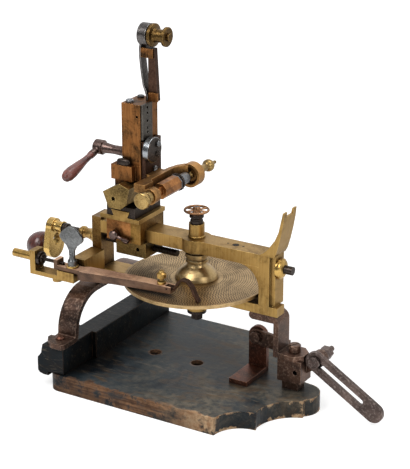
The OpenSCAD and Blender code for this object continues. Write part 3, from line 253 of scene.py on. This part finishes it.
class WornPaint(Finish):
    """Blue-black paint over wood, worn down to the wood in places."""

    def __init__(self, name, bare_front, flaking, shade):
        """bare_front is how far the front edge is rubbed bare, flaking how much the sides flake, and shade
        how much blacker with painted shade the paint is away from its left end, which also lowers its sheen."""
        super().__init__(name, roughness=0.45, specular=0.2 - 0.22 * shade)
        normal, self.lean = self.soft_edge(2.4 * MM)
        self.cloud = self.noise(9.0, 8.0, 0.66, warp=1.0)
        self.fine = self.noise(110.0, 6.0, 0.68)
        self.chip = self.noise(48.0, 6.0, 0.68)
        self.grain = self.noise(1.0, 6.0, 0.6, at=self.stretched(9, 330, 330), warp=0.7)
        bare = self.round_holes(self.bare_spots(bare_front, flaking))
        self.set("Base Color", self.mix(bare, self.paint(shade), self.wood()))
        gloss = self.span(self.plus(self.cloud, self.times(self.fine, 0.4)), 0.5, 0.9, 0.3, 0.52)
        self.set("Roughness", self.larger(gloss, self.times(bare, 0.75)))
        height = self.plus(self.times(self.fine, 0.5), self.times(bare, -0.9))
        height = self.plus(height, self.times(self.times(self.grain, bare), 1.2))
        self.set("Normal", self.bump(height, 0.7 * MM, normal))

    def along_x(self, rag, start, end, before, after):
        """A change from before to after between two places along X, its border ragged by the clouds."""
        return self.span(self.plus(self.axis("X"), self.times(self.cloud, rag)), start, end, before, after)

    def paint(self, shade):
        """Blacker towards the left with painted shade, browned, greyed and scratched towards the right, and
        black with painted shade in the corners and under the parts above it.
        """
        skin = self.mix(self.span(self.cloud, 0.38, 0.6), tint(11, 20, 27), tint(42, 61, 72))
        scuff = self.mix(self.span(self.fine, 0.38, 0.62), tint(50, 50, 46), tint(112, 102, 86))
        drift = self.along_x(0.2, -0.06, 0.17, 0.0, 1.0)
        skin = self.mix(self.times(drift, self.span(self.cloud, 0.4, 0.56, 0.0, 0.85)), skin, scuff)
        smear = self.noise(1.0, 7.0, 0.66, at=self.stretched(14, 34, 20), warp=1.6)
        skin = self.mix(self.span(smear, 0.5, 0.68, 0.0, 0.75), skin, tint(86, 66, 44))
        # painted shade: the paint is blackened towards the left end
        skin = self.mix(self.along_x(0.1, -0.09, -0.02, 0.8, shade), skin, tint(12, 13, 14))
        scratch = self.noise(1.0, 5.0, 0.6, at=self.stretched(30, 260, 140), warp=1.4)
        skin = self.mix(self.span(scratch, 0.58, 0.7, 0.0, 0.45), skin, tint(126, 114, 96))
        # painted shade: near black where the AO finds corners and the parts standing over the board
        return self.mix(self.times(self.soil_and_shade(45 * MM, 0.35, 0.98), 0.9), skin, tint(6, 6, 6))

    def wood(self):
        """Old brown wood, darker at the left end and palest at the right."""
        colour = self.mix(self.span(self.grain, 0.36, 0.66), tint(84, 58, 42), tint(160, 118, 84))
        colour = self.mix(self.span(self.chip, 0.46, 0.64, 0.0, 0.8), colour, tint(56, 43, 36))
        colour = self.mix(self.along_x(0.1, -0.13, -0.02, 0.6, 0.0), colour, tint(48, 39, 34))
        pale = self.mix(self.span(self.fine, 0.4, 0.6), tint(176, 136, 100), tint(222, 190, 150))
        return self.mix(self.along_x(0.06, 0.05, 0.13, 0.0, 0.75), colour, pale)

    def bare_spots(self, bare_front, flaking):
        """Where the wood shows: a ragged band along the front edge, chipped corners and flaking sides."""
        rag = self.plus(self.times(self.chip, 0.05), self.times(self.cloud, 0.035))
        inward = self.minus(self.axis("Y"), board_low.y)
        band = self.span(self.minus(inward, rag), -43 * MM, -37 * MM, bare_front, 0.0)
        patches = self.noise(30.0, 6.0, 0.6, at=self.stretched(0.5, 1, 1.4))
        band = self.times(band, self.span(patches, 0.54, 0.62, 1.0, 0.2))
        corner = self.times(self.span(self.lean, 0.02, 0.16),
                            self.span(self.chip, 0.4, 0.5, 0.0, 0.4 + 0.6 * flaking))
        upright = self.span(self.math("ABSOLUTE", self.upward()), 0.2, 0.6, flaking, 0.0)
        off_middle = self.math("ABSOLUTE", self.minus(self.axis("Z"), board_high.z / 2))
        near_edges = self.span(off_middle, 4 * MM, board_high.z / 2, 0.0, 0.16)
        flake = self.span(self.plus(self.chip, near_edges), 0.62, 0.67)
        return self.larger(band, self.larger(corner, self.times(flake, upright)), clamp=True)

    def round_holes(self, bare):
        """The bare spots with a worn ring added round each bench bolt hole."""
        for mount in frame["record"]["mounts"]:
            if mount["name"].startswith("bench_hole"):
                hole = (mount["pos_m"][0], mount["pos_m"][1], board_high.z)
                away = self.vector("DISTANCE", "Value", self.place, hole)
                ring = self.plus(away, self.times(self.chip, 6 * MM))
                bare = self.larger(bare, self.span(ring, 12.2 * MM, 14.2 * MM, 0.5, 0.0))
        return bare


def hole_shade(name):
    """A flat dark colour, the painted shade inside a small drilled hole."""
    made = Finish(name, metallic=0.6, roughness=0.6)
    made.set("Base Color", made.mix(made.noise(160.0, 3.0), tint(14, 10, 6), tint(40, 29, 16)))
    return made.material


def dress(material, *names):
    """Gives CAD nodes their finish."""
    for name in names:
        nodes[name].data.materials.clear()
        nodes[name].data.materials.append(material)


# Places that finishes take from the CAD boxes
board_low, board_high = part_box("base_board")
disc_low, disc_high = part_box("slide_disc")
centre_low, centre_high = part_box("front_centre")
cutter_x = (centre_low.x + centre_high.x) / 2
cutter_z = (centre_low.z + centre_high.z) / 2

# Tones that several metals share: bright, body and tarnish
brass = tones((240, 208, 134), (192, 154, 86), (112, 80, 38))
bronze = tones((220, 162, 100), (168, 112, 64), (92, 58, 34))
steel = tones((206, 208, 210), (140, 144, 148), (78, 76, 76))
black = tones((128, 116, 108), (58, 51, 47), (32, 28, 26))

# Board and iron legs
dress(WornPaint("board_paint", bare_front=1.0, flaking=1.0, shade=0.0).material, "base_board")
dress(WornPaint("cleat_paint", bare_front=0.0, flaking=0.0, shade=0.4).material, "end_cleat")
dress(forged_iron("leg_iron", tones((182, 154, 134), (104, 77, 63), (48, 38, 34))),
      "arch_leg", "right_leg", "leg_block", "leg_brace", "block_screw")
dress(forged_iron("stay_iron", tones((182, 166, 158), (112, 95, 88), (66, 55, 52))), "stay", "stay_bolt")
dress(forged_iron("rust_iron", tones((178, 128, 102), (116, 68, 48), (52, 35, 29)), metallic=0.7),
      "foot_bracket", "leg_screws")

# Brass
dress(worn_metal("frame_brass", tones((226, 192, 122), (158, 125, 71), (78, 55, 28)), grain=(1, 1, 0.08),
                 cover=(0.62, 0.86)),
      "top_bar", "right_post", "bottom_bar", "horn", "arbor_bush", "saddle_plate", "index_bracket")
dress(worn_metal("deep_brass", tones((206, 168, 100), (98, 70, 34), (56, 38, 18))), "left_post")
dress(worn_metal("plate_brass", tones((240, 212, 158), (182, 152, 108), (110, 86, 54)), rough=(0.34, 0.5)),
      "dividing_plate")
dress(worn_metal("bell_brass", tones((238, 214, 164), (172, 145, 100), (96, 74, 46)), rough=(0.3, 0.44),
                 pits=0.02 * MM, cover=(0.62, 0.86)),
      "pedestal")
dress(worn_metal("crank_brass", tones((250, 222, 150), (216, 178, 106), (136, 100, 50)), rough=(0.2, 0.38),
                 soil_shade_span=(0.15, 0.7)),
      "crank_arm", "screw_trumpet")
dress(worn_metal("knob_brass", brass, rough=(0.22, 0.4)), "dome_washer", "thumb_screw")
dress(worn_metal("lathe_brass", tones((232, 204, 142), (160, 131, 80), (84, 62, 34)), rough=(0.22, 0.4),
                 turned=(cutter_x, cutter_z, 2.6 * MM)),
      "front_centre", "rear_centre")
dress(worn_metal("spool_brass", tones((210, 172, 104), (108, 81, 44), (54, 38, 21)), rough=(0.26, 0.44)),
      "idler_pulley", "idler_axle")
dress(worn_metal("olive_brass", tones((226, 192, 122), (116, 95, 56), (64, 49, 27)), patch=40),
      "cross_block", "keeper")

# Copper and bronze
dress(worn_metal("tower_copper", tones((212, 152, 92), (122, 79, 43), (38, 26, 17)), rough=(0.34, 0.56),
                 grain=(1, 1, 0.12), patch=38, cover=(0.6, 0.74)),
      "tower_foot", "tower_body", "arm_blocks")
dress(worn_metal("saddle_metal", bronze, patch=36, split=("X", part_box("saddle")[0].x + 40 * MM),
                 other=tones((206, 168, 100), (126, 94, 46), (68, 47, 22))),
      "saddle")
# painted light and shade: paler tones on the arm's upward faces, darker tones on its sides
dress(worn_metal("arm_copper_lit_top", tones((172, 134, 106), (106, 77, 57), (60, 42, 33)), rough=(0.36, 0.58),
                 grain=(0.1, 1, 1), patch=32, soil_shade_span=(0.15, 0.75), split=("up", 0.5),
                 other=tones((240, 204, 174), (214, 172, 138), (136, 98, 76)), metallic=0.5),
      "index_arm")
dress(worn_metal("yoke_bronze", tones((222, 170, 108), (176, 130, 76), (92, 64, 36))), "yoke")
dress(worn_metal("wheel_copper", tones((196, 138, 96), (166, 128, 94), (84, 58, 42))), "hand_wheel")

# Steel, and pieces that are part steel
grey_steel = worn_metal("grey_steel", steel, rough=(0.24, 0.44))
dark_steel = worn_metal("dark_steel", black, rough=(0.32, 0.55), edge=0.6)
screw_steel = worn_metal("screw_steel", black, rough=(0.3, 0.5), edge=0.6)
dress(grey_steel, "spindle", "slide_rack", "feed_pinion")
dress(dark_steel, "horn_bolt", "pivot_screw", "clamp_nut", "cross_base", "cutter")
dress(screw_steel, "leadscrew")
dress(worn_metal("strip_steel", tones((146, 142, 136), (86, 81, 74), (50, 46, 42)), rough=(0.36, 0.55)),
      "slide_strip")
dress(worn_metal("spring_steel", tones((196, 192, 188), (94, 90, 89), (50, 46, 44)), rough=(0.22, 0.4)),
      "arm_spring")
dress(worn_metal("brown_steel", tones((140, 108, 90), (66, 47, 38), (37, 27, 22)), rough=(0.34, 0.56),
                 edge=0.6),
      "slide_plate", "arm_strap", "index_point")
dress(worn_metal("lever_steel", tones((176, 158, 150), (104, 84, 78), (52, 41, 38)), rough=(0.26, 0.44)),
      "feed_lever", "clamp_lever")
dress(worn_metal("arbor_metal", bronze, rough=(0.26, 0.46),
                 split=("Y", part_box("cutter_arbor")[0].y + 47 * MM), other=steel),
      "cutter_arbor")
dress(worn_metal("disc_metal", steel, rough=(0.2, 0.36), split=("X", disc_high.x - 3.35 * MM), other=black),
      "slide_disc")
dress(worn_metal("micrometer_metal", brass, rough=(0.24, 0.4),
                 split=("X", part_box("micrometer_screw")[0].x + 34.5 * MM), other=black),
      "micrometer_screw")
dress(worn_metal("wing_steel", brass, rough=(0.24, 0.4), split=("Z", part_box("wing_screw")[0].z + 23.2 * MM),
                 other=tones((190, 192, 194), (108, 109, 108), (66, 66, 65))),
      "wing_screw")

# Wooden handles
dress(polished_wood("grip_wood", tint(126, 74, 64), tint(62, 34, 30), along="Y"), "lever_grip")
dress(polished_wood("knob_wood", tint(104, 54, 46), tint(50, 27, 25), along="Z"), "crank_knob")


def piece(name, shape, material, body, smooth=False):
    """A mesh from points and faces, which rides on a CAD body."""
    points, faces = shape
    mesh = bpy.data.meshes.new(name)
    mesh.from_pydata(points.reshape(-1, 3).tolist(), [], faces)
    mesh.materials.append(material)
    if smooth:
        mesh.shade_smooth()
    made = bpy.data.objects.new(name, mesh)
    bpy.context.scene.collection.objects.link(made)
    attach(made, body)
    return made


def turns(count):
    """Equal angles round a full turn."""
    return 2 * np.pi * np.arange(count) / count


def flat_dots(x, y, radius, z, sides):
    """Flat round dots at height z: corner k of a dot stands at the dot's x and y plus its radius times the
    cosine and sine of 2 pi k / sides."""
    corner = turns(sides)
    across = x[:, None] + radius[:, None] * np.cos(corner)
    back = y[:, None] + radius[:, None] * np.sin(corner)
    points = np.stack([across, back, np.full_like(across, z)], axis=-1)
    return points, np.arange(across.size).reshape(-1, sides).tolist()


def division_holes():
    """The dividing plate's drilled rings: dot j of a ring of n stands at angle 2 pi j / n on that ring's
    radius. The rings are evenly spaced from the pedestal to the rim."""
    counts = np.array([60, 64, 66, 72, 78, 80, 84, 90, 96, 100,
                       108, 112, 120, 128, 132, 144, 150, 160, 168, 180])
    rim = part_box("dividing_plate")[1]
    first_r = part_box("pedestal")[1].x + 8 * MM
    radii = np.repeat(np.linspace(first_r, rim.x - 5 * MM, len(counts)), counts)
    number = np.arange(counts.sum()) - np.repeat(np.cumsum(counts) - counts, counts)
    angle = 2 * np.pi * number / np.repeat(counts, counts)
    shape = flat_dots(radii * np.cos(angle), radii * np.sin(angle), np.full(len(angle), 1.1 * MM),
                      rim.z + 0.03 * MM, sides=7)
    # painted shade: the drilled holes are flat dark dots laid on the plate's top
    piece("division_holes", shape, hole_shade("hole_shade"), "arbor")


def oil_holes():
    """A large hole in the top bar with a small one on each side, as flat dots."""
    bar_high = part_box("top_bar")[1]
    x = bar_high.x - 45 * MM + np.array([0, -12, 12]) * MM
    radius = np.array([4.7, 1.7, 1.7]) * MM
    shape = flat_dots(x, np.zeros(3), radius, bar_high.z + 0.05 * MM, sides=20)
    # painted shade: the oil holes are flat dark dots laid on the bar's top
    piece("oil_holes", shape, hole_shade("oil_hole_shade"), "frame")


def tube_faces(count, sides):
    """Faces of a tube of count rings, its seam closed, and each end closed by a fan to one point. The points
    come ring by ring, then the first end's and the last end's."""
    i, j = np.meshgrid(np.arange(count - 1), np.arange(sides), indexing="ij")
    i, j, k = i.ravel(), j.ravel(), (j.ravel() + 1) % sides
    quads = np.stack([i * sides + j, i * sides + k, (i + 1) * sides + k, (i + 1) * sides + j], axis=1)
    a = np.arange(sides)
    b = (a + 1) % sides
    last = (count - 1) * sides
    bottom = np.stack([b, a, np.full(sides, count * sides)], axis=1)
    top = np.stack([last + a, last + b, np.full(sides, count * sides + 1)], axis=1)
    return quads.tolist() + bottom.tolist() + top.tolist()


def threaded_rod(plain_x, plain_r, start, end, radius, pitch, depth, z, sides=36, rows_a_turn=10):
    """A rod along X with a cut thread: past start the surface at place x and angle a sinks below the radius
    by depth times (1 - cos(2 pi x / pitch - a)) / 2, so the groove climbs one pitch a turn. It runs out over
    one pitch at each end. Before start, the rows plain_x and plain_r give a plain stepped rod."""
    cut_x = np.linspace(start, end, int((end - start) / pitch * rows_a_turn))[:, None]
    angle = turns(sides)
    groove = 0.5 - 0.5 * np.cos(2 * np.pi * cut_x / pitch - angle)
    run_out = np.clip(np.minimum(cut_x - start, end - cut_x) / pitch, 0, 1)
    cut_r = radius - depth * groove * run_out
    x = np.concatenate([np.array(plain_x)[:, None], cut_x]) * np.ones(sides)
    r = np.concatenate([np.array(plain_r)[:, None] * np.ones(sides), cut_r])
    rings = np.stack([x, r * np.cos(angle), z + r * np.sin(angle)], axis=-1).reshape(-1, 3)
    points = np.concatenate([rings, [[x[0, 0], 0, z], [end, 0, z]]])
    return points, tube_faces(len(x), sides)


def cut_leadscrew():
    """The leadscrew with its collar, threaded from the collar to its end, in place of the CAD's plain rod."""
    low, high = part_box("leadscrew")
    collar_r = (high.z - low.z) / 2
    lead_r = collar_r - 2.5 * MM
    collar_start = low.x + 14.4 * MM
    collar_end = low.x + 22 * MM
    shape = threaded_rod([low.x, collar_start, collar_start, collar_end, collar_end],
                         [lead_r, lead_r, collar_r, collar_r, lead_r], collar_end + 2 * MM, high.x, lead_r,
                         pitch=2.6 * MM, depth=0.8 * MM, z=(low.z + high.z) / 2)
    made = piece("cut_leadscrew", shape, screw_steel, "leadscrew")
    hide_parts("leadscrew")


def turned_shape(profile, centre, axis, sides=40, slot=None):
    """A profile of (radius, height) rows turned about an axis through centre: row i at angle a stands at
    radius (cos a, sin a) across the axis and height along it. Both ends are closed by one point on the axis.
    slot (half width, depth, angle) sinks the points near one diameter, as a screwdriver slot does."""
    along = np.array(axis, float)
    slanted = [0.31, 0.57, 0.76]
    across = np.cross(along, slanted)
    across = across / np.linalg.norm(across)
    third = np.cross(along, across)
    rows = np.array(profile, float)
    bottom, top = rows[0, 1], rows[-1, 1]
    u = rows[:, :1] * np.cos(turns(sides))
    v = rows[:, :1] * np.sin(turns(sides))
    height = np.repeat(rows[:, 1:], sides, axis=1)
    if slot:
        half, depth, turn = slot
        off_slot = np.abs(u * np.sin(turn) - v * np.cos(turn))
        in_slot = np.clip((half - off_slot) / (0.35 * half) + 0.5, 0, 1)
        height = height - depth * in_slot * (height > 0.55 * top)
        top = top - depth
    rings = u.ravel()[:, None] * across + v.ravel()[:, None] * third + height.ravel()[:, None] * along
    points = np.concatenate([rings, [along * bottom, along * top]]) + np.array(centre)
    return points, tube_faces(len(rows), sides)


def slotted_screw(name, body, centre, axis, radius, height, turn):
    """A steel cheese-headed screw with a domed top and a slot."""
    dome = [(radius * share, height * (1.0 - 0.22 * share ** 4)) for share in np.linspace(0.95, 0.12, 14)]
    rows = [(radius, 0.0), (radius, 0.7 * height)] + dome
    shape = turned_shape(rows, centre, axis, slot=(0.13 * radius, 0.4 * height, turn))
    piece(name, shape, grey_steel, body)


def screws():
    """Two screws in the tower's top, one in the slide plate's face and one in the disc's."""
    up = (0, 0, 1)
    right = (1, 0, 0)
    tower_low, tower_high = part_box("tower_body")
    slide_low, slide_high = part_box("slide_plate")
    front = (tower_low.x + 8 * MM, tower_low.y + 9 * MM, tower_high.z)
    back = (tower_low.x + 9 * MM, tower_high.y - 9 * MM, tower_high.z)
    plate = (slide_high.x, slide_high.y - 16.3 * MM, slide_low.z + 14.4 * MM)
    disc = (disc_high.x - 2.5 * MM, (disc_low.y + disc_high.y) / 2 + 7 * MM,
            (disc_low.z + disc_high.z) / 2 + 7 * MM)
    slotted_screw("tower_screw", "cross_slide", front, up, 5.5 * MM, 4 * MM, turn=0.5)
    slotted_screw("tower_back_screw", "cross_slide", back, up, 5 * MM, 3.5 * MM, turn=1.4)
    slotted_screw("slide_screw", "cutter_slide", plate, right, 4.2 * MM, 2.4 * MM, turn=0.9)
    slotted_screw("disc_screw", "cutter_slide", disc, right, 4.4 * MM, 2.9 * MM, turn=2.2)


def ledge_dog():
    """The dark clamp on the tower foot's ledge: a rounded stub, stretched along X."""
    foot_low, foot_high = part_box("tower_foot")
    centre = np.array([foot_low.x + 18 * MM, foot_low.y + 4.5 * MM, foot_high.z])
    rows = np.array([(4.2, 0), (4.3, 3), (4.2, 6), (3.4, 8), (2, 9), (0.6, 9.2)]) * MM
    points, faces = turned_shape(rows, centre, (0, 0, 1), sides=32)
    long_stub = centre + (points - centre) * [2.5, 1, 1]
    piece("ledge_dog", (long_stub, faces), dark_steel, "cross_slide", smooth=True)


division_holes()
oil_holes()
cut_leadscrew()
screws()
ledge_dog()


def light(name, place, size, power):
    """A soft square lamp that looks at the middle of the object."""
    middle = Vector((0, 0, 0.2))
    lamp = bpy.data.lights.new(name, "AREA")
    lamp.size = size
    lamp.energy = power
    made = bpy.data.objects.new(name, lamp)
    made.location = place
    made.rotation_euler = (middle - Vector(place)).to_track_quat("-Z", "Y").to_euler()
    bpy.context.scene.collection.objects.link(made)


def backdrop():
    """A white surround for the camera, one that darkens towards the front for mirrors, and a quieter grey
    light on dull faces."""
    world = bpy.data.worlds.new("surround")
    bpy.context.scene.world = world
    world.use_nodes = True
    made = Nodes(world.node_tree)

    def glow(strength):
        return made.built("ShaderNodeBackground", 0, {"Color": (1, 1, 1, 1), "Strength": strength})

    path = made.node("ShaderNodeLightPath").outputs
    seen = made.larger(path["Is Camera Ray"], path["Is Transmission Ray"])
    backward = made.part("Y", made.node("ShaderNodeTexCoord").outputs["Generated"])
    mirrored = glow(made.span(backward, -0.5, 0.5, 0.12, 1.0))
    unseen = made.built("ShaderNodeMixShader", 0, {0: path["Is Glossy Ray"], 1: glow(0.2), 2: mirrored})
    all_rays = made.built("ShaderNodeMixShader", 0, {0: seen, 1: unseen, 2: glow(1.0)})
    made.feed(made.node("ShaderNodeOutputWorld").inputs["Surface"], all_rays)


def floor():
    """A wide white floor: part of its brightness is its own, for the camera and mirrors, and part takes the
    shadow. Its own share grows with the distance from the object, as the lamps fade. Mirrors see its far half
    dim."""
    made = Finish("floor_white", roughness=0.9, specular=0.0)
    path = made.node("ShaderNodeLightPath").outputs
    mirrored = made.times(path["Is Glossy Ray"], made.span(made.axis("Y"), -0.1, 0.4, 0.9, 0.3))
    seen = made.larger(made.larger(path["Is Camera Ray"], mirrored), path["Is Transmission Ray"])
    away = made.vector("LENGTH", "Value", made.place)
    made.set("Base Color", (0.55, 0.55, 0.55, 1.0))
    made.set("Emission Color", (1.0, 1.0, 1.0, 1.0))
    made.set("Emission Strength", made.times(seen, made.span(away, 0.35, 1.1, 0.66, 1.0)))
    half = 6.0
    corners = [(-half, -half, 0), (half, -half, 0), (half, half, 0), (-half, half, 0)]
    mesh = bpy.data.meshes.new("floor")
    mesh.from_pydata(corners, [], [(0, 1, 2, 3)])
    mesh.materials.append(made.material)
    ground = bpy.data.objects.new("floor", mesh)
    bpy.context.scene.collection.objects.link(ground)


def camera():
    """The photograph's view: from the right front, a little above, through a long lens."""
    lens = bpy.data.cameras.new("camera")
    lens.lens = 126.17
    lens.sensor_width = 36.0
    lens.clip_end = 50.0
    made = bpy.data.objects.new("camera", lens)
    looks_along = Vector((-0.4808, 0.7990, -0.3613))
    made.location = (1.0957, -1.7988, 1.0362)
    made.rotation_euler = looks_along.to_track_quat("-Z", "Y").to_euler()
    bpy.context.scene.collection.objects.link(made)
    bpy.context.scene.camera = made


light("key_light", (-0.5, -1.3, 1.9), size=1.0, power=33)
light("side_light", (1.8, -0.6, 1.2), size=0.8, power=11)
light("top_light", (0.4, 0.4, 2.2), size=1.2, power=20)
backdrop()
floor()
camera()
bpy.context.scene.view_settings.view_transform = "Standard"
